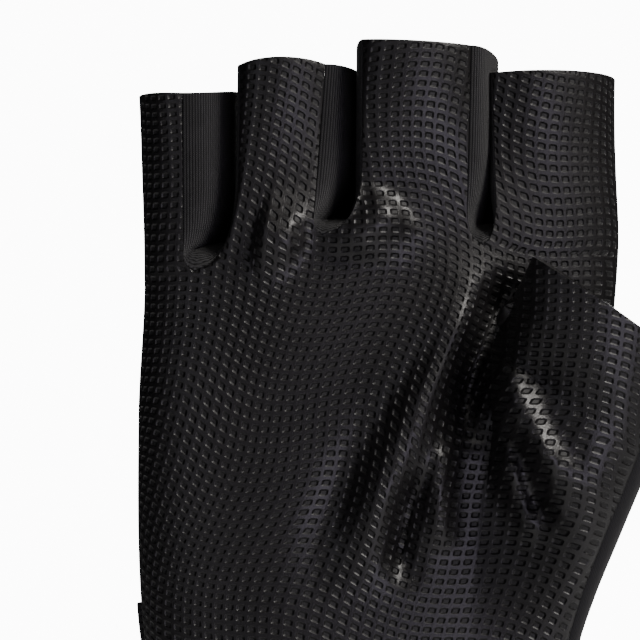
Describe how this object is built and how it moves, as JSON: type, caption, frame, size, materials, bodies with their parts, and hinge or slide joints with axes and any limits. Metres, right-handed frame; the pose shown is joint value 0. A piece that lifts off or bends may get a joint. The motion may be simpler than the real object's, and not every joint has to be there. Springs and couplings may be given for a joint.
{
  "type": "weightlifting glove",
  "caption": "Right-hand half-finger training glove: embossed leather palm, ribbed knit strips between the fingers, plain back and wrist strap, open at the wrist.",
  "frame": {"origin": "centre of the wrist opening, at the wrist hem", "axes": "+Z along the fingers, -Y out of the palm, +X to the thumb's side"},
  "size_m": [0.1021, 0.0603, 0.1602],
  "materials": {
    "palm_leather": "satin",
    "rib_knit": "matte",
    "back_fabric": "matte",
    "strap_elastic": "matte",
    "strap_tab": "matte"
  },
  "bodies": {
    "root": {"palm_panel": "palm_leather", "gusset_little_ring": "rib_knit", "gusset_ring_middle": "rib_knit", "gusset_middle_index": "rib_knit", "back_panel": "back_fabric", "thumb_back": "back_fabric", "wrist_strap": "strap_elastic", "strap_tab": "strap_tab"}
  },
  "joints": []
}
